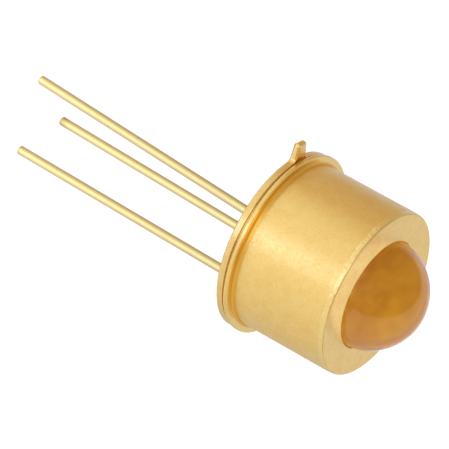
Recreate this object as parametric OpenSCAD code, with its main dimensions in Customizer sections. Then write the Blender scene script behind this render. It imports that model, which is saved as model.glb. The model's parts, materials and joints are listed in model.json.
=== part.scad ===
// Ultraviolet LED in a three-lead metal can with a ball lens.
// The origin is the middle of the seating plane, the underside of the header.
// +Z runs along the optical axis to the lens, the leads run down -Z and the index tab points along +X.

/* [Header] */
// Diameter of the header flange
header_flange_d = 9.14; // [8.9:0.02:9.4]
// Thickness of the header flange
header_flange_t = 0.36; // [0.3:0.02:0.6]
// Radius on the edges of both flanges
flange_edge_r = 0.07; // [0.02:0.01:0.09]
// Height of the pedestal above the flange
pedestal_h = 0.89; // [0.5:0.01:1.2]
// Gap between the pedestal and the inside of the can
pedestal_clearance = 0.12; // [0.05:0.01:0.3]
// Chamfer on the top edge of the pedestal
pedestal_chamfer = 0.12; // [0.02:0.01:0.3]

/* [Index tab] */
// How far the tab reaches past the flange
tab_reach = 0.89; // [0.74:0.01:1.14]
// Width of the tab where it leaves the flange
tab_root_w = 0.86; // [0.7:0.01:0.95]
// Width of the tab at its tip
tab_tip_w = 0.66; // [0.5:0.01:0.7]
// Radius on the corners of the tip
tab_tip_r = 0.14; // [0.05:0.01:0.24]
// Radius of the fillets between the tab and the flange
tab_root_r = 0.22; // [0.05:0.01:0.4]

/* [Cap] */
// How far the header flange stands out past the can
flange_step = 0.36; // [0.3:0.01:0.5]
// Height of the front face above the seating plane
can_h = 5.92; // [5.4:0.02:6.6]
// Thickness of the can's wall
cap_wall = 0.25; // [0.18:0.01:0.3]
// Thickness of the can's front
cap_front_t = 0.28; // [0.2:0.01:0.4]
// Thickness of the cap's flange
cap_flange_t = 0.23; // [0.18:0.01:0.3]
// How far the cap's flange stands out past the header flange
cap_flange_overhang = 0.05; // [0:0.01:0.1]
// Radius where the can's wall turns out into its flange
cap_fillet_r = 0.12; // [0.05:0.01:0.2]
// Radius of the corner inside the can's front
cap_inner_r = 0.18; // [0.05:0.01:0.3]
// Length of the burnished rim along the can
rim_drop = 0.26; // [0.1:0.01:0.4]
// How far the burnished rim leans in
rim_lean_in = 0.03; // [0:0.01:0.25]
// Chamfer between the burnished rim and the front face
rim_chamfer = 0.04; // [0.03:0.01:0.15]

/* [Weld] */
// Height of the weld ring, which leaves a groove between the flanges
weld_gap = 0.09; // [0.02:0.01:0.12]
// Width of the weld ring
weld_ring_w = 0.14; // [0.06:0.01:0.2]
// Distance from the header flange's edge to the weld ring
weld_inset = 0.10; // [0.07:0.01:0.14]

/* [Lens] */
// Diameter of the ball lens
lens_d = 5.54; // [5.2:0.02:5.8]
// How far the ball stands out of the front face
lens_stand = 2.41; // [2.2:0.01:2.6]
// Gap between the ball and the opening in the front
lens_clearance = 0.01; // [0.005:0.005:0.05]
// How far the seal reaches down the inside of the can's wall
seal_reach = 1.2; // [0.8:0.05:1.5]
// How far the seal reaches down the ball
seal_drop = 1.85; // [1.5:0.05:2.1]
// Depth of the hollow in the seal's face
seal_dish = 0.05; // [0.02:0.01:0.08]

/* [Leads] */
// Diameter of the lead wire
lead_d = 0.45; // [0.41:0.01:0.53]
// Diameter of the circle that the leads stand on
pin_circle_d = 5.08; // [4.8:0.02:5.3]
// Length of the anode lead below the seating plane
anode_lead_len = 13.74; // [6:0.02:20]
// Length of the cathode lead below the seating plane
cathode_lead_len = 13.98; // [6:0.02:20]
// Length of the case lead below the seating plane
case_lead_len = 14.32; // [6:0.02:20]
// Lean of the anode lead, in degrees
anode_lead_lean = 3.2; // [0:0.1:5]
// Lean of the cathode lead, in degrees
cathode_lead_lean = 1.1; // [0:0.1:5]
// Lean of the case lead, in degrees
case_lead_lean = 1.7; // [0:0.1:5]
// Direction that the leads lean in, in degrees from the tab
lean_direction = -35; // [-180:1:180]
// Straight length below the seating plane before a lead bends
bend_drop = 0.25; // [0.1:0.05:1]
// Radius that the middle of a lead bends to
bend_r = 1.5; // [1:0.1:4]
// Radius on the cut end of a lead
lead_tip_r = 0.07; // [0.02:0.01:0.15]
// Height of the lead posts above the pedestal
post_h = 0.55; // [0.3:0.05:1]

/* [Lead joints] */
// Diameter of the glass seals
glass_seal_d = 1.3; // [1:0.05:1.5]
// Depth of the hollow in each face of a glass seal
glass_dish = 0.07; // [0.02:0.01:0.12]
// Diameter of the socket that the case lead is brazed into
socket_d = 0.85; // [0.75:0.05:1.2]
// Depth of that socket
socket_depth = 0.18; // [0.1:0.01:0.3]
// Depth of the hollow in the face of the braze
braze_dish = 0.04; // [0.01:0.01:0.08]

/* [Die and submount] */
// Side of the ceramic submount
submount_w = 2.2; // [1.8:0.1:2.4]
// Thickness of the submount
submount_t = 0.38; // [0.2:0.02:0.6]
// Thickness of the solder under the submount
submount_solder_t = 0.04; // [0.02:0.01:0.08]
// How far the solder reaches out past the submount
submount_solder_margin = 0.06; // [0.02:0.01:0.1]
// Thickness of the lands on the submount
pad_t = 0.02; // [0.01:0.005:0.05]
// Distance from the submount's edge to the lands
pad_margin = 0.1; // [0.05:0.01:0.2]
// Gap between the two lands
pad_gap = 0.16; // [0.08:0.02:0.3]
// Side of the die
chip_w = 0.9; // [0.7:0.05:1.1]
// Thickness of the die
chip_t = 0.16; // [0.08:0.02:0.3]
// Thickness of the solder joints under the die
bump_t = 0.03; // [0.02:0.01:0.06]
// Distance from the die's edge to its solder joints
bump_margin = 0.08; // [0.04:0.01:0.15]

/* [Bond wires] */
// Diameter of the bond wire
wire_d = 0.05; // [0.04:0.005:0.08]
// Height of the wire's loop above the line between its ends
wire_loop_h = 0.42; // [0.2:0.02:0.7]
// Diameter of the bonds at the ends of a wire
bond_d = 0.13; // [0.1:0.01:0.2]
// Height of those bonds
bond_h = 0.05; // [0.03:0.01:0.08]
// Distance from the edges of a land to the middle of its bond
bond_inset = 0.16; // [0.12:0.01:0.25]

/* [Hidden] */
// Facets of a circle, and of a circle in the large turned pieces
$fn = 72;
large_fn = 180;

// Colours of the finishes
gold = [0.86, 0.67, 0.31];
pale_gold = [0.90, 0.76, 0.46];
amber_glass = [0.80, 0.53, 0.18, 0.7];
dark_glass = [0.20, 0.24, 0.22];
seal_glass = [0.90, 0.58, 0.14];
solder_grey = [0.72, 0.70, 0.62];
ceramic_white = [0.87, 0.86, 0.82];
die_violet = [0.42, 0.40, 0.56];

// Places of the leads, in degrees from the tab
anode_angle = 45;
cathode_angle = 135;
case_angle = 225;

// Spare length of a cut past the face that it goes through
cut_over = 0.5;

// Radii
header_flange_r = header_flange_d / 2;
cap_flange_r = header_flange_r + cap_flange_overhang;
can_r = header_flange_r - flange_step;
can_inner_r = can_r - cap_wall;
pedestal_r = can_inner_r - pedestal_clearance;
lens_r = lens_d / 2;
aperture_r = lens_r + lens_clearance;
lead_r = lead_d / 2;
pin_circle_r = pin_circle_d / 2;
weld_ring_outer_r = header_flange_r - weld_inset;
// A drawn sheet keeps its thickness round the bend
cap_bend_r = cap_fillet_r + cap_flange_t;

// Heights
pedestal_z = header_flange_t + pedestal_h;
cap_flange_z = header_flange_t + weld_gap;
cap_flange_top_z = cap_flange_z + cap_flange_t;
can_inner_z = can_h - cap_front_t;
lens_z = can_h + lens_stand - lens_r;
post_z = pedestal_z + post_h;
submount_z = pedestal_z + submount_solder_t;
submount_top_z = submount_z + submount_t;
pad_top_z = submount_top_z + pad_t;
chip_z = pad_top_z + bump_t;

// Sides of the lands and of the joints under the die
pad_l = submount_w - 2 * pad_margin;
pad_w = (pad_l - pad_gap) / 2;
bump_l = chip_w - 2 * bump_margin;
bump_w = (bump_l - pad_gap) / 2;

// A disc's half section: a rectangle from the axis out to r, with both outer edges rounded
module disc_section(r, t, edge_r) {
    square([r - edge_r, t]);
    translate([0, edge_r]) square([r, t - 2 * edge_r]);
    for (z = [edge_r, t - edge_r]) translate([r - edge_r, z]) circle(edge_r);
}

// A rod's half section, with the far end's edge rounded
module rod_section(r, length, tip_r) {
    square([r, length - tip_r]);
    square([r - tip_r, length]);
    translate([r - tip_r, length - tip_r]) circle(tip_r);
}

// What fills an inside corner at the origin that opens to +X and +Y
module corner_fillet(r) {
    difference() {
        square(r);
        translate([r, r]) circle(r);
    }
}

// Radius of an arc that spans a width and is as deep as the dish
function arc_radius(width, dish) = (width * width / 4 + dish * dish) / (2 * dish);

// Puts its children on the pin circle, without turning them
module at_lead(angle) {
    translate([pin_circle_r * cos(angle), pin_circle_r * sin(angle), 0]) children();
}

// The index tab's plan

// Half the angle that the sides of the tab close in by
tab_taper = atan((tab_root_w - tab_tip_w) / 2 / tab_reach);
// Along one side of the tab, and square to it
tab_side = [cos(tab_taper), -sin(tab_taper)];
tab_out = [sin(tab_taper), cos(tab_taper)];
tab_tip_x = header_flange_r + tab_reach;
// Where the side would start, inside the flange
tab_start = [header_flange_r - tab_root_w, tab_root_w / 2 + tab_root_w * tan(tab_taper)];
tab_corner = [
    tab_tip_x - tab_tip_r,
    tab_tip_w / 2 + tab_tip_r * tan(tab_taper) - tab_tip_r / cos(tab_taper)
];

// The fillets run out just inside the flange's rounded edge
tab_blend_r = header_flange_r - 2 * flange_edge_r;

// Middle of the fillet that touches a side of the tab and runs out into the flange
function tab_fillet_middle() =
    let (
        p = tab_start + tab_root_r * tab_out,
        reach = tab_blend_r + tab_root_r,
        along = p * tab_side
    )
    p + (sqrt(along * along - p * p + reach * reach) - along) * tab_side;

module tab_half_plan() {
    corner_start = tab_corner + tab_tip_r * tab_out;
    polygon([
        [tab_start.x, 0], tab_start, corner_start,
        [tab_tip_x, tab_corner.y], [tab_tip_x, 0]
    ]);
    translate(tab_corner) circle(tab_tip_r);
    middle = tab_fillet_middle();
    on_side = middle - tab_root_r * tab_out;
    in_flange = middle * tab_blend_r / norm(middle);
    difference() {
        polygon([tab_start, on_side, in_flange]);
        translate(middle) circle(tab_root_r);
    }
}

module tab_plan() {
    tab_half_plan();
    mirror([0, 1]) tab_half_plan();
}

// Flange and pedestal, turned from one half section
module header_section() {
    disc_section(header_flange_r, header_flange_t, flange_edge_r);
    polygon([
        [0, 0], [pedestal_r, 0], [pedestal_r, pedestal_z - pedestal_chamfer],
        [pedestal_r - pedestal_chamfer, pedestal_z], [0, pedestal_z]
    ]);
}

module header() {
    color(gold) difference() {
        union() {
            rotate_extrude($fn = large_fn) header_section();
            linear_extrude(header_flange_t) tab_plan();
        }
        for (angle = [anode_angle, cathode_angle])
            at_lead(angle) translate([0, 0, -cut_over])
                cylinder(d = glass_seal_d, h = pedestal_z + 2 * cut_over);
        at_lead(case_angle) translate([0, 0, -cut_over])
            cylinder(d = socket_d, h = socket_depth + cut_over);
    }
}

// The cap's outer half section: flange, weld ring, wall, burnished rim and front
module cap_outer_section() {
    translate([0, cap_flange_z]) disc_section(cap_flange_r, cap_flange_t, flange_edge_r);
    translate([weld_ring_outer_r - weld_ring_w, header_flange_t])
        square([weld_ring_w, weld_gap + cap_flange_t / 2]);
    polygon([
        [0, cap_flange_z], [can_r, cap_flange_z], [can_r, can_h - rim_drop],
        [can_r - rim_lean_in, can_h - rim_chamfer],
        [can_r - rim_lean_in - rim_chamfer, can_h], [0, can_h]
    ]);
    translate([can_r, cap_flange_top_z]) corner_fillet(cap_fillet_r);
}

// The rounded corner between the can's wall and its front, inside
module cap_corner_section() {
    translate([can_inner_r, can_inner_z]) rotate(180) corner_fillet(cap_inner_r);
}

// The space inside the can, with the sheet's bend at the flange and the opening in the front
module cap_inner_section() {
    difference() {
        square([can_inner_r, can_inner_z]);
        cap_corner_section();
    }
    translate([can_inner_r, cap_flange_z]) corner_fillet(cap_bend_r);
    square([aperture_r, can_h + cut_over]);
}

module cap() {
    color(gold) rotate_extrude($fn = large_fn) difference() {
        cap_outer_section();
        cap_inner_section();
    }
}

module lens() {
    color(amber_glass) translate([0, 0, lens_z]) sphere(lens_r, $fn = large_fn);
}

// Solder glass that fills the corner between the ball and the can, with a hollow face
module lens_seal() {
    $fn = large_fn;
    low_z = can_inner_z - seal_drop;
    low_r = sqrt(lens_r * lens_r - (lens_z - low_z) * (lens_z - low_z));
    wall_z = can_inner_z - seal_reach;
    // The hollow is an arc across the line between the face's two ends
    face = [can_inner_r - low_r, wall_z - low_z];
    outward = [face.y, -face.x] / norm(face);
    hollow_r = arc_radius(norm(face), seal_dish);
    hollow_middle = [low_r, low_z] + face / 2 + (hollow_r - seal_dish) * outward;
    color(seal_glass) rotate_extrude() difference() {
        polygon([
            [aperture_r, can_inner_z], [can_inner_r, can_inner_z],
            [can_inner_r, wall_z], [low_r, low_z]
        ]);
        cap_corner_section();
        translate([0, lens_z]) circle(lens_r);
        translate(hollow_middle) circle(hollow_r);
    }
}

// A lead: straight through the header, a gentle bend, then straight to its rounded end.
// Its three stretches are set out round the middle of the bend, so that their ends meet
module lead(angle, top_z, length, lean) {
    bend_len = bend_r * lean * PI / 180;
    straight_len = length - bend_drop - bend_len;
    color(pale_gold) at_lead(angle) rotate([0, 0, lean_direction])
        translate([bend_r, 0, -bend_drop]) rotate([90, 180, 0]) {
            rotate([90, 0, 0]) translate([bend_r, 0, 0]) cylinder(d = lead_d, h = top_z + bend_drop);
            if (lean > 0) rotate_extrude(angle = lean) translate([bend_r, 0]) circle(lead_r);
            rotate([-90, 0, lean]) translate([bend_r, 0, 0])
                rotate_extrude() rod_section(lead_r, straight_len, lead_tip_r);
        }
}

module anode_lead() {
    lead(anode_angle, post_z, anode_lead_len, anode_lead_lean);
}

module cathode_lead() {
    lead(cathode_angle, post_z, cathode_lead_len, cathode_lead_lean);
}

module case_lead() {
    lead(case_angle, socket_depth, case_lead_len, case_lead_lean);
}

// Half section of a ring round a lead, hollowed below and, for a glass seal, above too
module ring_section(outer_r, height, dish, dished_above) {
    gap = outer_r - lead_r;
    arc_r = arc_radius(gap, dish);
    difference() {
        translate([lead_r, 0]) square([gap, height]);
        translate([lead_r + gap / 2, dish - arc_r]) circle(arc_r);
        if (dished_above) translate([lead_r + gap / 2, height - dish + arc_r]) circle(arc_r);
    }
}

module glass_seal(angle) {
    color(dark_glass) at_lead(angle)
        rotate_extrude() ring_section(glass_seal_d / 2, pedestal_z, glass_dish, true);
}

module anode_seal() {
    glass_seal(anode_angle);
}

module cathode_seal() {
    glass_seal(cathode_angle);
}

module case_lead_braze() {
    color(gold) at_lead(case_angle)
        rotate_extrude() ring_section(socket_d / 2, socket_depth, braze_dish, false);
}

// A flat square or oblong tile, standing on z
module tile(size, z, t) {
    translate([-size.x / 2, -size.y / 2, z]) cube([size.x, size.y, t]);
}

module submount_solder() {
    side = submount_w + 2 * submount_solder_margin;
    color(solder_grey) tile([side, side], pedestal_z, submount_solder_t);
}

module submount() {
    color(ceramic_white) tile([submount_w, submount_w], submount_z, submount_t);
}

// The anode's land lies on the +X side, and the cathode's on the other
module land(side) {
    color(pale_gold) translate([side * (pad_gap + pad_w) / 2, 0, 0])
        tile([pad_w, pad_l], submount_top_z, pad_t);
}

module anode_pad() {
    land(1);
}

module cathode_pad() {
    land(-1);
}

module led_chip() {
    color(die_violet) tile([chip_w, chip_w], chip_z, chip_t);
}

// A solder joint between a land and the die
module die_joint(side) {
    color(solder_grey) translate([side * (pad_gap + bump_w) / 2, 0, 0])
        tile([bump_w, bump_l], pad_top_z, bump_t);
}

module anode_bump() {
    die_joint(1);
}

module cathode_bump() {
    die_joint(-1);
}

// Bond wires

wire_sides = 8;
wire_steps = 18;

// A point on the wire's loop, from one end at t = 0 to the other at t = 1
function wire_point(from, to, t) = from + t * (to - from) + [0, 0, wire_loop_h * sin(180 * t)];

// The loop's direction there
function wire_along(from, to, t) =
    let (step = to - from + [0, 0, wire_loop_h * PI * cos(180 * t)])
    step / norm(step);

// One ring of corners round the loop
function wire_ring(from, to, t) =
    let (
        along = wire_along(from, to, t),
        level = cross([0, 0, 1], to - from),
        across = level / norm(level),
        up = cross(along, across)
    )
    [for (i = [0:wire_sides - 1])
        let (turn = 360 * i / wire_sides)
        wire_point(from, to, t) + wire_d / 2 * (cos(turn) * across + sin(turn) * up)];

module wire_loop(from, to) {
    corners = [for (k = [0:wire_steps]) each wire_ring(from, to, k / wire_steps)];
    last = wire_steps * wire_sides;
    walls = [for (k = [0:wire_steps - 1], i = [0:wire_sides - 1])
        let (a = k * wire_sides + i, b = k * wire_sides + (i + 1) % wire_sides)
        [a, a + wire_sides, b + wire_sides, b]];
    ends = [
        [for (i = [0:wire_sides - 1]) i],
        [for (i = [wire_sides - 1:-1:0]) last + i]
    ];
    polyhedron(corners, concat(walls, ends));
}

module bond(at) {
    translate(at) cylinder(d = bond_d, h = bond_h);
}

// A wire from the land on one side to the top of its lead's post
module bond_wire(side, angle) {
    land_bond = [side * (pad_gap / 2 + pad_w - bond_inset), pad_l / 2 - bond_inset, pad_top_z];
    post_bond = [pin_circle_r * cos(angle), pin_circle_r * sin(angle), post_z];
    rise = [0, 0, bond_h / 2];
    color(gold) {
        bond(land_bond);
        bond(post_bond);
        wire_loop(land_bond + rise, post_bond + rise);
    }
}

module anode_wire() {
    bond_wire(1, anode_angle);
}

module cathode_wire() {
    bond_wire(-1, cathode_angle);
}

header();
cap();
lens();
lens_seal();
anode_lead();
cathode_lead();
case_lead();
anode_seal();
cathode_seal();
case_lead_braze();
submount_solder();
submount();
anode_pad();
cathode_pad();
led_chip();
anode_bump();
cathode_bump();
anode_wire();
cathode_wire();
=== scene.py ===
# Ultraviolet LED in a gold-plated metal can: fine meshes, finishes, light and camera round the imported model
import json
import math

import bmesh
import bpy
from mathutils import Matrix, Vector

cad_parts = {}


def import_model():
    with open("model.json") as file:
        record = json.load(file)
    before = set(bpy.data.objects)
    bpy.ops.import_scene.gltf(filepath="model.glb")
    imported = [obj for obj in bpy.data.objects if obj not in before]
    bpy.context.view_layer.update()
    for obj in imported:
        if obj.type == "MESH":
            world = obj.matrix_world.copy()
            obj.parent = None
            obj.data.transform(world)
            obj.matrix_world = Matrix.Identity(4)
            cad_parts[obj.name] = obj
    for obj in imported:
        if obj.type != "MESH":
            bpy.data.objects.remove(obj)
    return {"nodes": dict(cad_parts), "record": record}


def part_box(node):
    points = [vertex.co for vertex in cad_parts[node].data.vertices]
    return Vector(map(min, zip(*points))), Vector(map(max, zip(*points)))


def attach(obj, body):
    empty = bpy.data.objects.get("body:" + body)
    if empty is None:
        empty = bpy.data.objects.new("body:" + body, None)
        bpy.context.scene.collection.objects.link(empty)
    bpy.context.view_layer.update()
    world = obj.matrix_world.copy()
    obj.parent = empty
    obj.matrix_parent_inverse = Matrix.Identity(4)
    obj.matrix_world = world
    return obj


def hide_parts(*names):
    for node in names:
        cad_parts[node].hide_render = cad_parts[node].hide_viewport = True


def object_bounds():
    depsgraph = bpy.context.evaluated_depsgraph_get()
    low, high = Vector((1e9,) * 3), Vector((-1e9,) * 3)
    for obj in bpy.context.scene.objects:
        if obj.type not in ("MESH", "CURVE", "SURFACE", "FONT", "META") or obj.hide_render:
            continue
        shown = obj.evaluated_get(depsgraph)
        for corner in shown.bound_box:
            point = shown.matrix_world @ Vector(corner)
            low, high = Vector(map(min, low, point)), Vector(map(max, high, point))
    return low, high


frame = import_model()
cad_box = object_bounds()

MM = 0.001
BODY = "root"

# What the record says of the mounts and of each node's finish
mounts = {mount["name"]: mount for mount in frame["record"]["mounts"]}
slots = {part["node"]: part["material_slot"] for part in frame["record"]["subparts"]}
# The node that holds each lead in the header
LEAD_JOINTS = {"anode": "anode_seal", "cathode": "cathode_seal", "case": "case_lead_braze"}

# Sizes in metres that the frame holds
header_low, header_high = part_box("header")
cap_low, cap_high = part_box("cap")
lens_low, lens_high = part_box("lens")
lens_seal_low, lens_seal_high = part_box("lens_seal")

FLANGE_R = -header_low.x
TAB_TIP_X = header_high.x
PEDESTAL_Z = header_high.z
HEADER_FLANGE_T = cap_low.z
CAP_FLANGE_R = cap_high.x
FRONT_Z = cap_high.z
FRONT_INNER_Z = lens_seal_high.z
CAN_R = mounts["can_barrel"]["dims"]["r_mm"] * MM
LENS_R = (lens_high.z - lens_low.z) / 2
LENS_Z = (lens_high.z + lens_low.z) / 2
LENS_SEAL_Z = lens_seal_low.z
LEAD_R = mounts["anode_pin"]["dims"]["r_mm"] * MM
FLOOR_Z = cad_box[0].z

# Sizes of the solids that their boxes don't show
FLANGE_EDGE_R = 0.07 * MM
TAB_ROOT_W = 0.86 * MM
TAB_TIP_W = 0.66 * MM
TAB_ROOT_R = 0.22 * MM
CAP_WALL = 0.25 * MM
CAP_FLANGE_T = 0.23 * MM
CAP_FILLET_R = 0.12 * MM
CAP_INNER_R = 0.18 * MM
RIM_DROP = 0.26 * MM
RIM_LEAN_IN = 0.03 * MM
RIM_CHAMFER = 0.04 * MM
WELD_GAP = 0.09 * MM
WELD_RING_W = 0.14 * MM
WELD_INSET = 0.10 * MM
LENS_CLEARANCE = 0.01 * MM
PEDESTAL_CLEARANCE = 0.12 * MM
PEDESTAL_CHAMFER = 0.12 * MM
LEAD_TIP_R = 0.07 * MM
GLASS_DISH = 0.07 * MM
BRAZE_DISH = 0.04 * MM
LENS_SEAL_DISH = 0.05 * MM
LENS_SEAL_WALL_DROP = 1.2 * MM

# Radii of the edges that are softer on the plated piece than on its solid
TAB_TIP_R = 0.18 * MM
TAB_EDGE_R = 0.15 * MM
RIM_BEND_R = 0.6 * MM
RIM_SOFT_R = 0.10 * MM
LIP_R = 0.025 * MM
HAIR_R = 0.012 * MM
# The seal wets the ball, so its mesh reaches this far into the glass
WETTING = 0.003 * MM

# Heights and radii that several pieces share
WELD_TOP_Z = HEADER_FLANGE_T + WELD_GAP
CAP_FLANGE_TOP_Z = WELD_TOP_Z + CAP_FLANGE_T
CAN_INNER_R = CAN_R - CAP_WALL

# Fineness of the meshes
SEGMENTS = 256
ARC_STEPS = 6
LEAD_SIDES = 64
RING_SIDES = 72
SHARP_ANGLE = math.radians(40)
# Corners that lie closer than this are joined
SAME_PLACE = 0.000012 * MM


# Outlines


def along_arc(middle, radius, start, end, steps):
    """Points on an arc, from one angle to another in radians."""
    points = []
    for k in range(steps + 1):
        angle = start + (end - start) * k / steps
        points.append(Vector((middle[0] + radius * math.cos(angle), middle[1] + radius * math.sin(angle))))
    return points


def short_arc(middle, radius, first, last, steps):
    """Points on the shorter arc round a middle, from one direction to another."""
    start = math.atan2(first.y, first.x)
    turn = (math.atan2(last.y, last.x) - start + math.pi) % (2 * math.pi) - math.pi
    return along_arc(middle, radius, start, start + turn, steps)


def rounded(corners):
    """A closed outline through corners of (x, y, radius), with a support point beside each arc's ends."""
    count = len(corners)
    points = []
    for i, (x, y, radius) in enumerate(corners):
        here = Vector((x, y))
        if radius == 0:
            points.append(here)
            continue
        back = Vector(corners[i - 1][:2]) - here
        ahead = Vector(corners[(i + 1) % count][:2]) - here
        half = back.angle(ahead) / 2
        reach = radius / math.tan(half)
        back.normalize()
        ahead.normalize()
        middle = here + (back + ahead).normalized() * radius / math.sin(half)
        first = here + back * reach - middle
        last = here + ahead * reach - middle
        support = min(radius, LIP_R) / 2
        points.append(here + back * (reach + support))
        points.extend(short_arc(middle, radius, first, last, ARC_STEPS))
        points.append(here + ahead * (reach + support))
    return points


def arc_radius(width, dish):
    """Radius of an arc that spans a width and is as deep as the dish."""
    return (width * width / 4 + dish * dish) / (2 * dish)


# Meshes


def smooth_piece(name, work):
    """A smooth-shaded object from a bmesh, with its hard edges kept sharp."""
    bmesh.ops.remove_doubles(work, verts=work.verts, dist=SAME_PLACE)
    bmesh.ops.recalc_face_normals(work, faces=work.faces)
    mesh = bpy.data.meshes.new(name)
    work.to_mesh(mesh)
    work.free()
    mesh.shade_smooth()
    mesh.set_sharp_from_angle(angle=SHARP_ANGLE)
    piece = bpy.data.objects.new(name, mesh)
    bpy.context.collection.objects.link(piece)
    return piece


def mesh_from(vertices, faces):
    """A bmesh from places and from faces that count those places."""
    work = bmesh.new()
    corners = [work.verts.new(vertex) for vertex in vertices]
    for face in faces:
        work.faces.new([corners[i] for i in face])
    return work


def lathe(name, outline, axis=(0.0, 0.0), segments=SEGMENTS, closed=True):
    """Turns an outline of (r, z) round an upright axis."""
    vertices = []
    for i in range(segments):
        angle = 2 * math.pi * i / segments
        for r, z in outline:
            vertices.append((axis[0] + r * math.cos(angle), axis[1] + r * math.sin(angle), z))
    count = len(outline)
    spans = count if closed else count - 1
    faces = []
    for i in range(segments):
        here = i * count
        there = (i + 1) % segments * count
        for j in range(spans):
            k = (j + 1) % count
            faces.append((here + j, there + j, there + k, here + k))
    return smooth_piece(name, mesh_from(vertices, faces))


def tube(name, rings):
    """A closed round bar through rings of (middle, direction, radius)."""
    vertices = []
    for middle, along, radius in rings:
        across = along.cross(Vector((0, 1, 0))).normalized()
        other = along.cross(across)
        for i in range(LEAD_SIDES):
            angle = 2 * math.pi * i / LEAD_SIDES
            vertices.append(middle + radius * (math.cos(angle) * across + math.sin(angle) * other))
    faces = []
    for k in range(len(rings) - 1):
        here = k * LEAD_SIDES
        there = here + LEAD_SIDES
        for i in range(LEAD_SIDES):
            j = (i + 1) % LEAD_SIDES
            faces.append((here + i, here + j, there + j, there + i))
    last = len(vertices) - LEAD_SIDES
    faces.append(range(LEAD_SIDES))
    faces.append(range(last, last + LEAD_SIDES))
    return smooth_piece(name, mesh_from(vertices, faces))


def dress(piece, node):
    """Puts a piece in its solid's place and gives it its finish."""
    slot = slots[node]
    piece.data.materials.append(finishes[slot])
    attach(piece, BODY)
    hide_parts(node)


# Cap and lens


def cap_piece():
    """The drawn cap: weld ring, flange, wall, burnished rim, front and opening."""
    aperture_r = LENS_R + LENS_CLEARANCE
    ring_outer_r = FLANGE_R - WELD_INSET
    ring_inner_r = ring_outer_r - WELD_RING_W
    corners = [
        (CAP_FLANGE_R, WELD_TOP_Z, FLANGE_EDGE_R),
        (CAP_FLANGE_R, CAP_FLANGE_TOP_Z, FLANGE_EDGE_R),
        (CAN_R, CAP_FLANGE_TOP_Z, CAP_FILLET_R),
        (CAN_R, FRONT_Z - RIM_DROP, RIM_BEND_R),
        (CAN_R - RIM_LEAN_IN, FRONT_Z - RIM_CHAMFER, RIM_SOFT_R),
        (CAN_R - RIM_LEAN_IN - RIM_CHAMFER, FRONT_Z, LIP_R),
        (aperture_r, FRONT_Z, LIP_R),
        (aperture_r, FRONT_INNER_Z, HAIR_R),
        (CAN_INNER_R, FRONT_INNER_Z, CAP_INNER_R),
        (CAN_INNER_R, WELD_TOP_Z, CAP_FILLET_R + CAP_FLANGE_T),
        (ring_inner_r, WELD_TOP_Z, 0),
        (ring_inner_r, HEADER_FLANGE_T, 0),
        (ring_outer_r, HEADER_FLANGE_T, 0),
        (ring_outer_r, WELD_TOP_Z, 0),
    ]
    dress(lathe("cap_drawn", rounded(corners)), "cap")


def lens_piece():
    """The ball, turned from a half circle."""
    outline = along_arc((0, LENS_Z), LENS_R, -math.pi / 2, math.pi / 2, SEGMENTS // 2)
    dress(lathe("lens_ball", outline, closed=False), "lens")


def lens_seal_piece():
    """Solder glass that fills the corner between the ball and the can, with a hollow face."""
    low_angle = math.asin((LENS_SEAL_Z - LENS_Z) / LENS_R)
    high_angle = math.asin((FRONT_INNER_Z - LENS_Z) / LENS_R)
    low = Vector((LENS_R * math.cos(low_angle), LENS_SEAL_Z))
    high = Vector((CAN_INNER_R, FRONT_INNER_Z - LENS_SEAL_WALL_DROP))
    face = high - low
    outward = Vector((face.y, -face.x)).normalized()
    hollow_r = arc_radius(face.length, LENS_SEAL_DISH)
    hollow_middle = low + face / 2 + outward * (hollow_r - LENS_SEAL_DISH)
    outline = short_arc(hollow_middle, hollow_r, low - hollow_middle, high - hollow_middle, 2 * ARC_STEPS)
    corner = (CAN_INNER_R - CAP_INNER_R, FRONT_INNER_Z - CAP_INNER_R)
    outline.extend(along_arc(corner, CAP_INNER_R, 0, math.pi / 2, ARC_STEPS))
    outline.extend(along_arc((0, LENS_Z), LENS_R - WETTING, high_angle, low_angle, 4 * ARC_STEPS))
    dress(lathe("lens_seal_ring", outline), "lens_seal")


# Header with its index tab


def tab_half_plan():
    """One side of the tab, from the flange's edge to the middle of the tip, on the +Y side."""
    taper = math.atan((TAB_ROOT_W - TAB_TIP_W) / 2 / (TAB_TIP_X - FLANGE_R))
    side = Vector((math.cos(taper), -math.sin(taper)))
    out = Vector((math.sin(taper), math.cos(taper)))
    root = Vector((FLANGE_R, TAB_ROOT_W / 2)) + TAB_ROOT_R * out
    along = root.dot(side)
    fillet_reach = FLANGE_R + TAB_ROOT_R
    middle = root + (math.sqrt(along ** 2 - root.length_squared + fillet_reach ** 2) - along) * side
    corner = Vector((
        TAB_TIP_X - TAB_TIP_R,
        TAB_TIP_W / 2 + TAB_TIP_R * math.tan(taper) - TAB_TIP_R / math.cos(taper),
    ))
    start = math.atan2(-middle.y, -middle.x)
    end = math.atan2(-out.y, -out.x)
    points = along_arc(middle, TAB_ROOT_R, start, end, 2 * ARC_STEPS)
    points.extend(along_arc(corner, TAB_TIP_R, math.pi / 2 - taper, 0, 2 * ARC_STEPS))
    return points


def header_plan():
    """The flange's round outline with the tab on it, anticlockwise from the middle of the tab."""
    half = tab_half_plan()
    near = list(reversed(half))
    far = [Vector((point.x, -point.y)) for point in half]
    open_from = math.atan2(half[0].y, half[0].x)
    ring = along_arc((0, 0), FLANGE_R, open_from, 2 * math.pi - open_from, SEGMENTS)
    return near + ring[1:-1] + far


def inward(plan, i):
    """The direction into the plan, square to it at one of its points."""
    along = (plan[(i + 1) % len(plan)] - plan[i - 1]).normalized()
    return Vector((-along.y, along.x))


def loop_at(work, points, z):
    """A loop of corners at one height."""
    return [work.verts.new((point.x, point.y, z)) for point in points]


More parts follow.
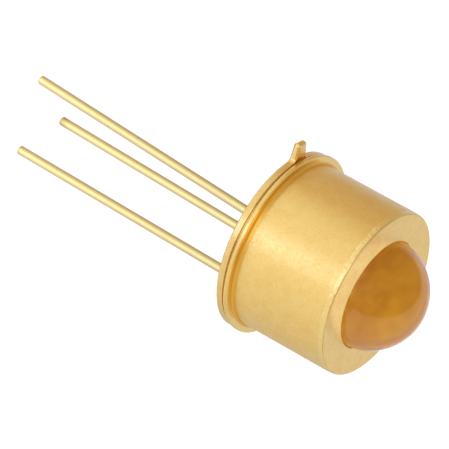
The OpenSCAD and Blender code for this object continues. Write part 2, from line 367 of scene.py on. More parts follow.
def edge_radius(point):
    """The flange's edge radius, which grows to the tab's along its first half."""
    share = (point.length - FLANGE_R) / (TAB_TIP_X - FLANGE_R) * 2
    return FLANGE_EDGE_R + (TAB_EDGE_R - FLANGE_EDGE_R) * min(max(share, 0.0), 1.0)


def rounded_edge_loop(work, plan, slant, underside):
    """A loop on the rounded edge, at a slant from 0 on the flat face to a quarter turn on the side."""
    loop = []
    for i, point in enumerate(plan):
        radius = edge_radius(point)
        place = point + radius * (1 - math.sin(slant)) * inward(plan, i)
        depth = radius * (1 - math.cos(slant))
        loop.append(work.verts.new((place.x, place.y, depth if underside else HEADER_FLANGE_T - depth)))
    return loop


def wall_between(work, lower, upper):
    """A band of faces between two loops with as many corners."""
    count = len(lower)
    for i in range(count):
        j = (i + 1) % count
        work.faces.new((lower[i], lower[j], upper[j], upper[i]))


def fill_between(work, loops):
    """A flat face inside the first loop and outside the others."""
    edges = []
    for loop in loops:
        for i in range(len(loop)):
            edges.append(work.edges.get((loop[i - 1], loop[i])))
    bmesh.ops.triangle_fill(work, edges=edges, use_beauty=True)


def header_piece():
    """The stamped header: flange, tab and pedestal, with two seal holes and the case lead's socket."""
    plan = header_plan()
    flat_plan = [point + (TAB_EDGE_R + LIP_R) * inward(plan, i) for i, point in enumerate(plan)]
    pedestal_r = CAN_INNER_R - PEDESTAL_CLEARANCE
    pedestal_steps = [
        (pedestal_r, HEADER_FLANGE_T),
        (pedestal_r, PEDESTAL_Z - PEDESTAL_CHAMFER),
        (pedestal_r - PEDESTAL_CHAMFER, PEDESTAL_Z),
    ]
    quarter = [math.pi / 2 * k / ARC_STEPS for k in range(ARC_STEPS + 1)]
    work = bmesh.new()
    loops = [loop_at(work, flat_plan, 0)]
    loops.extend(rounded_edge_loop(work, plan, slant, True) for slant in quarter)
    loops.extend(rounded_edge_loop(work, plan, slant, False) for slant in reversed(quarter))
    loops.append(loop_at(work, flat_plan, HEADER_FLANGE_T))
    for r, z in pedestal_steps:
        loops.append(loop_at(work, [point.normalized() * r for point in plan], z))
    for lower, upper in zip(loops, loops[1:]):
        wall_between(work, lower, upper)
    holes_below = []
    holes_above = []
    for node in LEAD_JOINTS.values():
        low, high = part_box(node)
        ring = along_arc((low + high) / 2, (high.x - low.x) / 2, 0, 2 * math.pi, RING_SIDES)[:-1]
        below = loop_at(work, ring, 0)
        above = loop_at(work, ring, high.z)
        wall_between(work, below, above)
        holes_below.append(below)
        if node == LEAD_JOINTS["case"]:
            work.faces.new(above)
        else:
            holes_above.append(above)
    fill_between(work, [loops[0]] + holes_below)
    fill_between(work, [loops[-1]] + holes_above)
    dress(smooth_piece("header_stamped", work), "header")


# Leads, their glass seals and the braze


def lead_piece(lead):
    """A lead from its post, through its joint in the header and its bend, to the rounded end."""
    node = lead + "_lead"
    mount = mounts[lead + "_pin"]
    along = Vector(mount["axis"])
    half = along * mount["dims"]["length_mm"] * MM / 2
    bend_end = Vector(mount["pos_m"]) - half
    tip = Vector(mount["pos_m"]) + half + along * LEAD_TIP_R
    joint_low, joint_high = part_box(LEAD_JOINTS[lead])
    root = (joint_low + joint_high) / 2
    top_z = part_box(node)[1].z
    down = Vector((0, 0, -1))
    sideways = Vector((bend_end.x - root.x, bend_end.y - root.y, 0)).length
    # Both tangents of the bend are as long as its end lies from where the two straights meet
    tangent = sideways / math.sin(along.angle(down))
    bend_start = Vector((root.x, root.y, (bend_end - along * tangent).z + tangent))
    corner = bend_start + down * tangent
    rings = [(Vector((root.x, root.y, top_z)), down, LEAD_R)]
    for k in range(ARC_STEPS + 1):
        share = k / ARC_STEPS
        point = bend_start.lerp(corner, share).lerp(corner.lerp(bend_end, share), share)
        rings.append((point, down.slerp(along, share), LEAD_R))
    rings.append((tip - along * (LEAD_TIP_R + LIP_R), along, LEAD_R))
    for k in range(ARC_STEPS + 1):
        angle = math.pi / 2 * k / ARC_STEPS
        place = tip - along * LEAD_TIP_R * (1 - math.sin(angle))
        rings.append((place, along, LEAD_R - LEAD_TIP_R * (1 - math.cos(angle))))
    dress(tube(node + "_wire", rings), node)


def ring_piece(name, node, dish, dished_above):
    """A ring of glass or braze round a lead, hollowed by surface tension."""
    low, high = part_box(node)
    outer_r = (high.x - low.x) / 2
    gap = outer_r - LEAD_R
    radius = arc_radius(gap, dish)
    spread = math.asin(gap / 2 / radius)
    middle_r = LEAD_R + gap / 2
    up = math.pi / 2
    outline = along_arc((middle_r, dish - radius), radius, up + spread, up - spread, 2 * ARC_STEPS)
    if dished_above:
        above = (middle_r, high.z - dish + radius)
        outline.extend(along_arc(above, radius, -up + spread, -up - spread, 2 * ARC_STEPS))
    else:
        outline.append(Vector((outer_r, high.z)))
        outline.append(Vector((LEAD_R, high.z)))
    dress(lathe(name, outline, axis=(low + high) / 2, segments=RING_SIDES), node)


# Node trees


class Nodes:
    """The node tree of a material or a world, with short calls for what the finishes and the stage share."""

    def __init__(self, owner):
        owner.use_nodes = True
        self.tree = owner.node_tree

    def put(self, socket, value):
        """Joins a socket to an output, or sets it to a plain number, colour or vector."""
        if isinstance(value, bpy.types.NodeSocket):
            self.tree.links.new(value, socket)
        elif socket.type == "RGBA":
            socket.default_value = (*value, 1.0)
        else:
            socket.default_value = value

    def node(self, kind, **inputs):
        """A new node, with inputs named by keyword."""
        made = self.tree.nodes.new(kind)
        for name, value in inputs.items():
            self.put(made.inputs[name.replace("_", " ")], value)
        return made

    def put_in_order(self, sockets, values):
        """Joins or sets sockets, each with the value in the same place."""
        for socket, value in zip(sockets, values):
            self.put(socket, value)

    def math(self, operation, first, second, clamped=False):
        made = self.node("ShaderNodeMath")
        made.operation = operation
        made.use_clamp = clamped
        self.put_in_order(made.inputs, (first, second))
        return made.outputs[0]

    def vector_math(self, operation, *values):
        made = self.node("ShaderNodeVectorMath")
        made.operation = operation
        self.put_in_order(made.inputs, values)
        return made.outputs

    def spread(self, value, low, high, over=(0.3, 0.7), smooth=False):
        """A value that runs from low to high as another runs over a range."""
        made = self.node("ShaderNodeMapRange", Value=value, To_Min=low, To_Max=high,
                         From_Min=over[0], From_Max=over[1])
        if smooth:
            made.interpolation_type = "SMOOTHSTEP"
        return made.outputs["Result"]

    def blend(self, share, first, second, kind="RGBA"):
        """A colour between two colours, or a number between two numbers."""
        made = self.node("ShaderNodeMix")
        made.data_type = kind
        socket_type = "RGBA" if kind == "RGBA" else "VALUE"
        ends = [socket for socket in made.inputs[1:] if socket.type == socket_type]
        self.put(made.inputs[0], share)
        self.put_in_order(ends, (first, second))
        return [socket for socket in made.outputs if socket.type == socket_type][0]

    def ray(self, kind):
        """1 for the rays of a kind, 0 for the others."""
        return self.node("ShaderNodeLightPath").outputs["Is " + kind + " Ray"]

    def finish_with(self, kind, shader):
        """Joins a shader to a new output node."""
        self.node(kind, Surface=shader)


# Finishes


class Finish(Nodes):
    """A material on the Principled shader, with the patterns that the finishes share."""

    def __init__(self, name):
        self.material = bpy.data.materials.new(name)
        super().__init__(self.material)
        self.shader = self.tree.nodes["Principled BSDF"]
        self.place = self.node("ShaderNodeTexCoord").outputs["Object"]

    def shade(self, **inputs):
        """Sets or joins inputs of the shader, named by keyword."""
        for name, value in inputs.items():
            self.put(self.shader.inputs[name.replace("_", " ")], value)

    def so_far(self, name):
        """What an input of the shader is joined to so far."""
        return self.shader.inputs[name].links[0].from_socket

    def noise(self, size, detail=2.0, stretch=(1, 1, 1)):
        """Noise with features of a size in metres, drawn out along the axes by the stretch."""
        scale = [1 / (size * part) for part in stretch]
        placed = self.node("ShaderNodeMapping", Vector=self.place, Scale=scale)
        made = self.node("ShaderNodeTexNoise", Vector=placed.outputs["Vector"], Scale=1.0, Detail=detail)
        return made.outputs[0]

    def bump(self, height, depth, over=None):
        """Relief of a depth in metres, on top of other relief where that is given."""
        made = self.node("ShaderNodeBump", Height=height, Distance=depth)
        if over is not None:
            self.put(made.inputs["Normal"], over)
        return made.outputs["Normal"]

    def height_share(self, low, high):
        """Runs from 0 to 1 between two heights on the part."""
        split = self.node("ShaderNodeSeparateXYZ", Vector=self.place)
        return self.spread(split.outputs["Z"], 0.0, 1.0, over=(low, high))

    def within_radius(self, radius):
        """1 nearer to the part's axis than the radius, 0 outside it."""
        flat = self.vector_math("MULTIPLY", self.place, (1, 1, 0))["Vector"]
        return self.math("LESS_THAN", self.vector_math("LENGTH", flat)["Value"], radius)

    def smooth_where(self, share, roughness):
        """Sets another roughness where the share is 1."""
        self.shade(Roughness=self.blend(share, self.so_far("Roughness"), roughness, kind="FLOAT"))


CLOUD_SIZE = 1.6 * MM
# Mottle is this many times as coarse as the grain
MOTTLE_SCALE = 4
# Ranges of what each pattern adds to the tone, and of what the clouds add to the roughness
CLOUD_TONE = (0.0, 0.4)
MOTTLE_TONE = (-0.2, 0.6)
SPECK_TONE = (-0.35, 0.35)
CLOUD_ROUGHNESS = (-0.03, 0.03)


def plated_gold(name, bright, deep, satin, grain, relief):
    """Gold plate: a cloudy, mottled tone, and a fine grain in the relief and in the satin's roughness."""
    finish = Finish(name)
    clouds = finish.noise(CLOUD_SIZE, detail=3.0)
    mottle = finish.noise(MOTTLE_SCALE * grain, detail=3.0)
    speck = finish.noise(grain)
    tone = finish.math("ADD", finish.spread(clouds, *CLOUD_TONE), finish.spread(mottle, *MOTTLE_TONE))
    tone = finish.math("ADD", tone, finish.spread(speck, *SPECK_TONE))
    finish.shade(
        Metallic=1.0,
        Base_Color=finish.blend(tone, bright, deep),
        Roughness=finish.math("ADD", finish.spread(speck, *satin), finish.spread(clouds, *CLOUD_ROUGHNESS)),
        Normal=finish.bump(mottle, relief, over=finish.bump(speck, relief)),
    )
    return finish


INSIDE_ROUGHNESS = 0.25
FLANGE_ROUGHNESS = 0.18
# Painted shade in the weld groove between the header and the cap's flange
GROOVE_SHADE_COLOUR = (0.78, 0.55, 0.22)
# Painted shade: deeper gold on the cap's flange, deeper still in the corner at the foot of the wall
FLANGE_SHADE_COLOUR = (0.94, 0.67, 0.23)
CORNER_SHADE_COLOUR = (0.86, 0.50, 0.08)
CORNER_LOW_Z = CAP_FLANGE_TOP_Z + 0.06 * MM
CORNER_TOP_Z = CORNER_LOW_Z + 0.22 * MM
# The burnished rim fades in round its lower edge, and ends at the front face
BURNISH_COLOUR = (1.0, 0.77, 0.33)
BURNISH_GLOSS = 0.16
BURNISH_START_Z = FRONT_Z - 1.15 * RIM_DROP
BURNISH_FULL_Z = FRONT_Z - 0.9 * RIM_DROP
BURNISH_FADE_Z = FRONT_Z - RIM_CHAMFER - 0.03 * MM
BURNISH_END_Z = FRONT_Z - RIM_CHAMFER + 0.02 * MM
DENT_SIZE = 0.20 * MM
DENT_DEPTH = 0.03 * MM


def cap_finish():
    """Matt plate on the drawn can, burnished along the front rim, with painted shade in the weld groove and
    in the corner at the wall's foot.
    """
    finish = plated_gold("cap_gold", bright=(0.98, 0.70, 0.25), deep=(0.94, 0.62, 0.19),
                         satin=(0.28, 0.42), grain=0.12 * MM, relief=0.0046 * MM)
    # Painted shade: the plate is deeper in colour on the flange, and deepest in the corner above it at the
    # foot of the wall
    corner = finish.height_share(CORNER_TOP_Z, CORNER_LOW_Z)
    flange_shade = finish.math("MULTIPLY", corner, finish.within_radius(CAP_FLANGE_R - FLANGE_EDGE_R))
    corner_shade = finish.math("MULTIPLY", corner, finish.within_radius(CAN_R + CAP_FILLET_R))
    colour = finish.blend(flange_shade, finish.so_far("Base Color"), FLANGE_SHADE_COLOUR)
    colour = finish.blend(corner_shade, colour, CORNER_SHADE_COLOUR)
    # Painted shade on the underside of the cap's flange, in the weld groove
    groove_shade = finish.height_share(WELD_TOP_Z + HAIR_R, WELD_TOP_Z - HAIR_R)
    colour = finish.blend(groove_shade, colour, GROOVE_SHADE_COLOUR)
    rim = finish.height_share(BURNISH_START_Z, BURNISH_FULL_Z)
    face = finish.height_share(BURNISH_FADE_Z, BURNISH_END_Z)
    burnish = finish.math("SUBTRACT", rim, face)
    dents = finish.noise(DENT_SIZE)
    rubbed = finish.math("MULTIPLY", burnish, finish.spread(dents, 0.3, 1.0))
    dented = finish.math("MULTIPLY", burnish, dents)
    gloss = finish.math("MULTIPLY", burnish, BURNISH_GLOSS)
    finish.shade(
        Base_Color=finish.blend(rubbed, colour, BURNISH_COLOUR),
        Roughness=finish.math("SUBTRACT", finish.so_far("Roughness"), gloss),
        Normal=finish.bump(dented, DENT_DEPTH, over=finish.so_far("Normal")),
    )
    below_front = finish.height_share(FRONT_INNER_Z + HAIR_R, FRONT_INNER_Z)
    inside = finish.math("MULTIPLY", finish.within_radius(CAN_R - CAP_WALL / 2), below_front)
    finish.smooth_where(inside, INSIDE_ROUGHNESS)
    flange = finish.math("SUBTRACT", 1.0, finish.within_radius(CAN_R + CAP_FILLET_R))
    finish.smooth_where(flange, FLANGE_ROUGHNESS)
    return finish.material


def header_finish():
    """Satin plate on the flange and the tab, smoother plate on the pedestal, and painted shade in the weld
    groove.
    """
    finish = plated_gold("header_gold", bright=(0.95, 0.69, 0.28), deep=(0.90, 0.60, 0.21),
                         satin=(0.14, 0.24), grain=0.08 * MM, relief=0.0020 * MM)
    inside = finish.height_share(HEADER_FLANGE_T, WELD_TOP_Z)
    finish.smooth_where(inside, INSIDE_ROUGHNESS)
    # Painted shade on the flange's top face, in the weld groove under the cap
    flange_top = finish.height_share(HEADER_FLANGE_T - 2 * HAIR_R, HEADER_FLANGE_T - HAIR_R)
    groove = finish.math("MULTIPLY", finish.within_radius(FLANGE_R - FLANGE_EDGE_R / 2), flange_top)
    groove_shade = finish.math("SUBTRACT", groove, inside)
    finish.shade(Base_Color=finish.blend(groove_shade, finish.so_far("Base Color"), GROOVE_SHADE_COLOUR))
    return finish.material


def lead_finish():
    """Bright plate on drawn wire, with fine draw lines along it."""
    finish = plated_gold("lead_gold", bright=(0.99, 0.78, 0.34), deep=(0.96, 0.72, 0.28),
                         satin=(0.16, 0.26), grain=0.06 * MM, relief=0.0012 * MM)
    lines = finish.noise(0.07 * MM, stretch=(1, 1, 12))
    finish.shade(Normal=finish.bump(lines, 0.0030 * MM, over=finish.so_far("Normal")))
    return finish.material


def braze_finish():
    """Smooth braze under plate."""
    return plated_gold("braze", bright=(0.90, 0.62, 0.24), deep=(0.80, 0.50, 0.18),
                       satin=(0.25, 0.36), grain=0.05 * MM, relief=0.0015 * MM).material


def land_finish():
    """A bright film of gold."""
    return plated_gold("land_gold", bright=(0.98, 0.76, 0.36), deep=(0.94, 0.68, 0.28),
                       satin=(0.18, 0.28), grain=0.03 * MM, relief=0.0006 * MM).material


def wire_finish():
    """Bright drawn gold wire."""
    return plated_gold("wire_gold", bright=(0.98, 0.74, 0.32), deep=(0.92, 0.64, 0.24),
                       satin=(0.15, 0.22), grain=0.01 * MM, relief=0.0002 * MM).material


def solder_finish():
    """Gold and tin solder: paler, with a frosty crystal grain."""
    return plated_gold("solder", bright=(0.78, 0.68, 0.48), deep=(0.64, 0.54, 0.36),
                       satin=(0.30, 0.48), grain=0.03 * MM, relief=0.0012 * MM).material


def lens_finish():
    """Polished glass with a faint warm tint and the slight waviness of a fire-polished ball."""
    finish = Finish("lens_glass")
    waves = finish.noise(0.9 * MM, detail=1.0)
    tint = finish.spread(finish.noise(0.35 * MM, detail=3.0), 0.0, 1.0)
    finish.shade(
        IOR=1.60,
        Transmission_Weight=1.0,
        Roughness=0.0,
        Base_Color=finish.blend(tint, (1.0, 0.97, 0.92), (1.0, 0.98, 0.94)),
        Normal=finish.bump(waves, 0.0010 * MM),
    )
    return finish.material


SEAL_LIGHTER_TOP = 0.8


def seal_glass_finish():
    """Opaque amber solder glass with a cloudy tint and small bubbles, lighter towards the front."""
    finish = Finish("solder_glass")
    clouds = finish.spread(finish.noise(0.22 * MM, detail=6.0), -0.1, 0.5, over=(0.35, 0.65))
    height = finish.height_share(LENS_SEAL_Z, FRONT_INNER_Z)
    tone = finish.math("ADD", clouds, finish.math("MULTIPLY", height, SEAL_LIGHTER_TOP))
    bubbles = finish.noise(0.06 * MM, detail=1.0)
    finish.shade(
        IOR=1.50,
        Specular_IOR_Level=0.05,
        Base_Color=finish.blend(tone, (0.76, 0.285, 0.006), (1.0, 0.55, 0.022)),
        Roughness=finish.spread(bubbles, 0.30, 0.50),
        Normal=finish.bump(bubbles, 0.0010 * MM),
    )
    return finish.material


def bead_glass_finish():
    """Dark fired glass: cloudy colour, small bubbles under a glossy skin."""
    finish = Finish("bead_glass")
    clouds = finish.noise(0.24 * MM, detail=3.0)
    bubbles = finish.noise(0.03 * MM, detail=1.0)
    finish.shade(
        IOR=1.55,
        Coat_Weight=0.3,
        Coat_Roughness=0.08,
        Base_Color=finish.blend(clouds, (0.20, 0.17, 0.11), (0.14, 0.12, 0.08)),
        Roughness=finish.spread(bubbles, 0.08, 0.2),
        Normal=finish.bump(bubbles, 0.0015 * MM),
    )
    return finish.material


def ceramic_finish():
    """Lapped ceramic: nearly white, with a sintered grain."""
    finish = Finish("tile_ceramic")
    grain = finish.noise(0.02 * MM)
    clouds = finish.noise(0.4 * MM, detail=3.0)
    finish.shade(
        Base_Color=finish.blend(clouds, (0.80, 0.79, 0.75), (0.70, 0.69, 0.66)),
        Roughness=finish.spread(grain, 0.45, 0.65),
        Normal=finish.bump(grain, 0.0008 * MM),
    )
    return finish.material


def die_finish():
    """Polished crystal with a violet cast and faint saw lines."""
    finish = Finish("die")
    lines = finish.noise(0.02 * MM, stretch=(1, 12, 12))
    clouds = finish.noise(0.3 * MM)
    finish.shade(
        IOR=1.77,
        Coat_Weight=0.4,
        Coat_Roughness=0.05,
        Base_Color=finish.blend(clouds, (0.20, 0.18, 0.30), (0.12, 0.11, 0.20)),
        Roughness=finish.spread(lines, 0.12, 0.28),
        Normal=finish.bump(lines, 0.0004 * MM),
    )
    return finish.material


finishes = {
    "cap_gold": cap_finish(),
    "header_gold": header_finish(),
    "lead_gold": lead_finish(),
    "lens_glass": lens_finish(),
    "solder_glass": seal_glass_finish(),
    "bead_glass": bead_glass_finish(),
    "braze": braze_finish(),
    "solder": solder_finish(),
    "tile_ceramic": ceramic_finish(),
    "land_gold": land_finish(),
    "die": die_finish(),
    "wire_gold": wire_finish(),
}

# Pieces that stand for their solids
cap_piece()
lens_piece()
lens_seal_piece()
header_piece()
for lead in LEAD_JOINTS:
    lead_piece(lead)
for seal in ("anode_seal", "cathode_seal"):
    ring_piece(seal + "_bead", seal, GLASS_DISH, dished_above=True)
ring_piece("case_lead_braze_ring", "case_lead_braze", BRAZE_DISH, dished_above=False)

# Solids that are right as they are keep their meshes and get their finish
KEPT_SOLIDS = (
    "submount_solder", "submount", "anode_pad", "cathode_pad", "led_chip",
    "anode_bump", "cathode_bump", "anode_wire", "cathode_wire",
)
for name in KEPT_SOLIDS:
    solid = frame["nodes"][name]
    solid.data.materials.clear()
    solid.data.materials.append(finishes[slots[name]])
    if name.endswith("wire"):
        solid.data.shade_smooth()

# Camera at the photograph's viewing angle: a long lens, rolled so that the part's axis runs down to the right
VIEW_AZIMUTH = math.radians(145.0)
VIEW_ELEVATION = math.radians(25.575)
VIEW_ROLL = math.radians(119.119)
VIEW_DISTANCE = 207.77 * MM
VIEW_LENS_MM = 354.99
# Where the part's origin lies in the picture, to the right of its middle and below it
ORIGIN_RIGHT = 2.403 * MM
ORIGIN_BELOW = 0.665 * MM

toward_viewer = Vector((
    math.sin(VIEW_AZIMUTH) * math.cos(VIEW_ELEVATION),
    -math.cos(VIEW_AZIMUTH) * math.cos(VIEW_ELEVATION),
    math.sin(VIEW_ELEVATION),
))
level_right = Vector((0, 0, 1)).cross(toward_viewer).normalized()
level_up = toward_viewer.cross(level_right)
view_right = level_right * math.cos(VIEW_ROLL) + level_up * math.sin(VIEW_ROLL)
view_up = toward_viewer.cross(view_right)
aim = -ORIGIN_RIGHT * view_right + ORIGIN_BELOW * view_up

camera = bpy.data.objects.new("camera", bpy.data.cameras.new("camera"))
bpy.context.collection.objects.link(camera)
camera.data.lens = VIEW_LENS_MM
camera_turn = Matrix((view_right, view_up, toward_viewer)).transposed().to_4x4()
camera.matrix_world = Matrix.Translation(aim + VIEW_DISTANCE * toward_viewer) @ camera_turn
bpy.context.scene.camera = camera
bpy.context.scene.view_settings.view_transform = "Standard"


# Floor, world, cards and lamps


def background_rays(nodes):
    """1 for the rays that see the background: camera, glossy and transmission rays."""
    first = nodes.math("MAXIMUM", nodes.ray("Camera"), nodes.ray("Glossy"))
    return nodes.math("MAXIMUM", first, nodes.ray("Transmission"))


def off_polish(nodes, level, polish_level):
    """A level, and another for the rays that a polished surface reflects."""
    polished = nodes.math("SUBTRACT", nodes.ray("Singular"), nodes.ray("Transmission"), clamped=True)
    return nodes.spread(polished, level, polish_level, over=(0.0, 1.0))


def stage_piece(name, vertices, faces):
    """A mesh of the stage, and the empty node tree of its material."""
    mesh = bpy.data.meshes.new(name)
    mesh.from_pydata(vertices, [], faces)
    made = bpy.data.objects.new(name, mesh)
    bpy.context.collection.objects.link(made)
    material = bpy.data.materials.new(name)
    mesh.materials.append(material)
    nodes = Nodes(material)
    nodes.tree.nodes.clear()
    return made, nodes


def square(half):
    """The corners of a level square round the origin."""
    return [Vector((x * half, y * half, 0)) for x, y in ((-1, -1), (1, -1), (1, 1), (-1, 1))]


SQUARE_FACE = [(0, 1, 2, 3)]
FLOOR_REACH = 1.5
FLOOR_GLOW = 0.72
FLOOR_COLOUR = (0.40, 0.40, 0.40)


def floor():
    """A white ground: part of its white is its own, so that the object's shadow stays soft and faint."""
    corners = [corner + Vector((0, 0, FLOOR_Z)) for corner in square(FLOOR_REACH)]
    nodes = stage_piece("floor", corners, SQUARE_FACE)[1]
    diffuse = nodes.node("ShaderNodeBsdfDiffuse", Color=FLOOR_COLOUR)
    strength = nodes.math("MULTIPLY", background_rays(nodes), FLOOR_GLOW)
    glow = nodes.node("ShaderNodeEmission", Strength=strength)
    both = nodes.node("ShaderNodeAddShader")
    nodes.put_in_order(both.inputs, (diffuse.outputs[0], glow.outputs[0]))
    nodes.finish_with("ShaderNodeOutputMaterial", both.outputs[0])


# The half of the room on this side is white, like a table top
TABLE_SIDE = (-0.960, -0.163, -0.229)
# Levels of the room, each with the one that polished glass sees
TABLE_LEVEL = 0.94
POLISH_TABLE_LEVEL = 1.05
ROOM_LEVEL = 0.50
POLISH_ROOM_LEVEL = 0.28
BACK_LEVEL = 0.84
POLISH_BACK_LEVEL = 0.80
CEILING_LEVEL = 1.0
ROOM_COLOUR = (0.79, 0.80, 0.89)
POLISH_ROOM_COLOUR = (0.87, 0.82, 0.77)
WARM_ROOM_COLOUR = (0.84, 0.75, 0.60)
# Where the table, the back and the ceiling fade in and the warm side fades out, as cosines of the angle
# from the table's side, from straight behind the object, or from straight up
TABLE_EDGE = (-0.02, 0.02)
BACK_EDGE = (0.0, 0.9)
POLISH_BACK_EDGE = (0.62, 0.74)
CEILING_EDGE = (0.55, 0.85)
WARM_EDGE = (-0.1, 0.5)


def world():
    """A soft room: white on the table's side, dim elsewhere, and bright again behind the object and above it.

    Polished glass sees levels and a colour of its own, and satin metal a warmer room on the viewer's side.
    """
    made = bpy.data.worlds.new("studio")
    bpy.context.scene.world = made
    nodes = Nodes(made)
    nodes.tree.nodes.clear()
    direction = nodes.node("ShaderNodeTexCoord").outputs["Generated"]

    def ramp(vector, low, high, edge):
        towards = nodes.vector_math("DOT_PRODUCT", direction, vector)["Value"]
        return nodes.spread(towards, low, high, over=edge, smooth=True)

    behind = Vector((-toward_viewer.x, -toward_viewer.y, 0)).normalized()
    table = ramp(TABLE_SIDE, 0.0, off_polish(nodes, TABLE_LEVEL, POLISH_TABLE_LEVEL), TABLE_EDGE)
    soft_room = ramp(behind, ROOM_LEVEL, BACK_LEVEL, BACK_EDGE)
    clear_room = ramp(behind, POLISH_ROOM_LEVEL, POLISH_BACK_LEVEL, POLISH_BACK_EDGE)
    room = off_polish(nodes, soft_room, clear_room)
    ceiling = ramp((0, 0, 1), 0.0, off_polish(nodes, CEILING_LEVEL, POLISH_ROOM_LEVEL), CEILING_EDGE)
    level = nodes.math("MAXIMUM", nodes.math("MAXIMUM", table, room), ceiling)
    satin = nodes.math("SUBTRACT", nodes.ray("Glossy"), nodes.ray("Singular"), clamped=True)
    warm = ramp(behind, satin, 0.0, WARM_EDGE)
    colour = nodes.blend(off_polish(nodes, 0.0, 1.0), ROOM_COLOUR, POLISH_ROOM_COLOUR)
    colour = nodes.blend(warm, colour, WARM_ROOM_COLOUR)
    shine = nodes.node("ShaderNodeBackground", Color=colour, Strength=level)
    nodes.finish_with("ShaderNodeOutputWorld", shine.outputs[0])


# Cards stand round the object and tone what its metal reflects: a cool window, a brown screen,
# a white front with a bright strip, and a grey side. Each entry is an angle from the tab, the tone there,
# and the level at which polished glass shows it
FULL_LEVEL = 1.0
CAN_CARD_R = 24 * MM
CAN_CARD_TOP_Z = 7 * MM
CAN_CARD = [
    (-115, (0.64, 0.70, 0.95), FULL_LEVEL),
    (-93, (0.64, 0.70, 0.95), FULL_LEVEL),
    (-75, (0.58, 0.55, 0.60), FULL_LEVEL),
    (-57, (0.55, 0.44, 0.32), POLISH_ROOM_LEVEL),
    (-18, (0.64, 0.53, 0.40), POLISH_ROOM_LEVEL),
    (10, (0.86, 0.84, 0.80), POLISH_ROOM_LEVEL),
    (40, (0.94, 0.94, 0.94), POLISH_ROOM_LEVEL),
    (50, (0.96, 0.96, 0.96), POLISH_ROOM_LEVEL),
    (54, (1.20, 1.36, 1.85), POLISH_ROOM_LEVEL),
    (70, (1.20, 1.36, 1.85), POLISH_ROOM_LEVEL),
    (74, (0.96, 0.96, 0.96), POLISH_ROOM_LEVEL),
    (104, (0.86, 0.86, 0.86), POLISH_ROOM_LEVEL),
    (110, (0.84, 0.84, 0.84), POLISH_TABLE_LEVEL),
    (190, (0.62, 0.62, 0.62), POLISH_TABLE_LEVEL),
    (215, (0.58, 0.58, 0.58), POLISH_TABLE_LEVEL),
]
LEAD_SLEEVE_R = 1.2 * MM
LEAD_SLEEVE = [
    (-125, (0.50, 0.48, 0.64), FULL_LEVEL),
    (-49, (0.46, 0.43, 0.50), FULL_LEVEL),
    (-17, (0.56, 0.52, 0.50), FULL_LEVEL),
    (7, (0.73, 0.70, 0.64), FULL_LEVEL),
    (35, (0.98, 1.03, 1.08), FULL_LEVEL),
    (52, (1.12, 1.22, 1.45), FULL_LEVEL),
    (75, (1.20, 1.36, 1.78), FULL_LEVEL),
    (98, (1.00, 1.06, 1.26), FULL_LEVEL),
    (139, (0.72, 0.73, 0.80), FULL_LEVEL),
    (190, (0.52, 0.53, 0.64), FULL_LEVEL),
    (235, (0.50, 0.48, 0.64), FULL_LEVEL),
]
# Shares of the sleeve's tones: at the middle of its foot, at the foot's edge and at its head
SLEEVE_FOOT_SHARE = 0.55
SLEEVE_LOW_SHARE = 1.06
SLEEVE_HEAD_SHARE = 0.86
# A dark sheet on the ground round the object, seen only in reflections: painted shade under the object
GROUND_R = 14 * MM
GROUND_SHADE_TONE = (0.36, 0.34, 0.34)
GROUND_SHADE_STOPS = [(angle, GROUND_SHADE_TONE, FULL_LEVEL) for angle in (-180, 180)]
# Heights of the sheet of painted shade on the ground, of a sleeve's foot and of its head
GROUND_Z = FLOOR_Z + 0.025 * MM
SLEEVE_FOOT_Z = FLOOR_Z + 0.05 * MM
SLEEVE_HEAD_Z = -LEAD_R
# The middle of a disc is left open by this radius
CARD_HOLE_R = 0.05 * MM
# A card has a corner about every so many degrees
CARD_STEP = 3


def only_reflected(made):
    """Hides a stage piece from all but reflections."""
    made.visible_camera = False
    made.visible_diffuse = False
    made.visible_shadow = False
    made.visible_transmission = False


def tone_at(tones, angle):
    """The tone and the polish level at an angle, between the two nearest entries."""
    for (start, first, first_level), (end, last, last_level) in zip(tones, tones[1:]):
        if angle <= end:
            share = (angle - start) / (end - start)
            return [a + (b - a) * share for a, b in zip((*first, first_level), (*last, last_level))]
    return [*tones[-1][1], tones[-1][2]]


def card(name, rings, tones):
    """A card along rings, each with a middle, a radius and a share of the tones.

    Only reflections on its inner side show it.
    """
    start = tones[0][0]
    end = tones[-1][0]
    steps = (end - start) // CARD_STEP
    angles = [start + (end - start) * k / steps for k in range(steps + 1)]
    vertices = []
    shades = []
    for middle, radius, share in rings:
        for angle in angles:
            turn = math.radians(angle)
            vertices.append(middle + radius * Vector((math.cos(turn), math.sin(turn), 0)))
            *tone, polish_level = tone_at(tones, angle)
            shades.extend([*(share * part for part in tone), polish_level])
    count = len(angles)
    faces = []
    for ring in range(len(rings) - 1):
        low = ring * count
        faces.extend((low + i, low + count + i, low + count + i + 1, low + i + 1) for i in range(steps))
    made, nodes = stage_piece(name, vertices, faces)
    made.data.color_attributes.new("shade", "FLOAT_COLOR", "POINT").data.foreach_set("color", shades)
    shade = nodes.node("ShaderNodeVertexColor")
    shade.layer_name = "shade"
    level = off_polish(nodes, FULL_LEVEL, shade.outputs["Alpha"])
    glow = nodes.node("ShaderNodeEmission", Color=shade.outputs["Color"], Strength=level)
    clear = nodes.node("ShaderNodeBsdfTransparent")
    outer_side = nodes.node("ShaderNodeNewGeometry").outputs["Backfacing"]
    sides = nodes.node("ShaderNodeMixShader")
    nodes.put_in_order(sides.inputs, (outer_side, glow.outputs[0], clear.outputs[0]))
    nodes.finish_with("ShaderNodeOutputMaterial", sides.outputs[0])
    only_reflected(made)


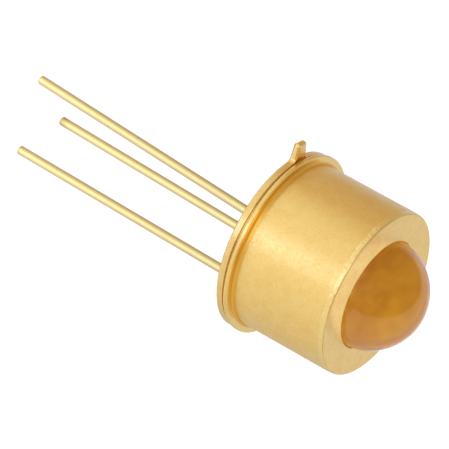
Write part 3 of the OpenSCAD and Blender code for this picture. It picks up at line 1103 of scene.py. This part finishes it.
def lead_sleeve(pin):
    """A card close round a lead, with a disc for its foot, from the floor to just below the header."""
    mount = mounts[pin]
    along = Vector(mount["axis"])
    middle = Vector(mount["pos_m"])
    foot, head = [middle + along * (z - middle.z) / along.z for z in (SLEEVE_FOOT_Z, SLEEVE_HEAD_Z)]
    rings = [
        (foot, CARD_HOLE_R, SLEEVE_FOOT_SHARE),
        (foot, LEAD_SLEEVE_R, SLEEVE_LOW_SHARE),
        (head, LEAD_SLEEVE_R, SLEEVE_HEAD_SHARE),
    ]
    card("sleeve_" + pin, rings, LEAD_SLEEVE)


def lamp(name, direction, distance, size, watts):
    """A soft square lamp that looks at the object from a direction, kept out of reflections."""
    light = bpy.data.lights.new(name, "AREA")
    light.size = size
    light.energy = watts
    made = bpy.data.objects.new(name, light)
    bpy.context.collection.objects.link(made)
    direction = Vector(direction).normalized()
    made.location = direction * distance
    made.rotation_euler = direction.to_track_quat("Z", "Y").to_euler()
    made.visible_camera = False
    made.visible_glossy = False


def panel(name, direction, distance, size, level):
    """A flat square light that faces the object from a direction, for satin metal to reflect.

    The ball shows the room's own level in its place.
    """
    direction = direction.normalized()
    turn = direction.to_track_quat("Z", "Y")
    corners = [direction * distance + turn @ corner for corner in square(size / 2)]
    made, nodes = stage_piece(name, corners, SQUARE_FACE)
    glow = nodes.node("ShaderNodeEmission", Strength=off_polish(nodes, level, POLISH_ROOM_LEVEL))
    nodes.finish_with("ShaderNodeOutputMaterial", glow.outputs[0])
    only_reflected(made)


floor()
world()
ground = Vector((0, 0, GROUND_Z))
card_top = Vector((0, 0, CAN_CARD_TOP_Z))
card("can_card", [(ground, CAN_CARD_R, 1.0), (card_top, CAN_CARD_R, 1.0)], CAN_CARD)
# Painted shade on the ground under the object, seen only in reflections
card("ground_shade_sheet", [(ground, CARD_HOLE_R, 1.0), (ground, GROUND_R, 1.0)], GROUND_SHADE_STOPS)
for lead in LEAD_JOINTS:
    lead_sleeve(lead + "_pin")
# The front lamp stands above the camera and a little to its left, as the picture is turned
FRONT_LAMP_UP = 0.30
FRONT_LAMP_LEFT = 0.05
front = toward_viewer + FRONT_LAMP_UP * view_up - FRONT_LAMP_LEFT * view_right
lamp("key", direction=(0.10, 0.15, 1.0), distance=0.60, size=0.50, watts=1.6)
lamp("front", direction=front, distance=0.60, size=0.40, watts=1.95)
panel("glint", direction=toward_viewer, distance=0.60, size=0.40, level=1.6)
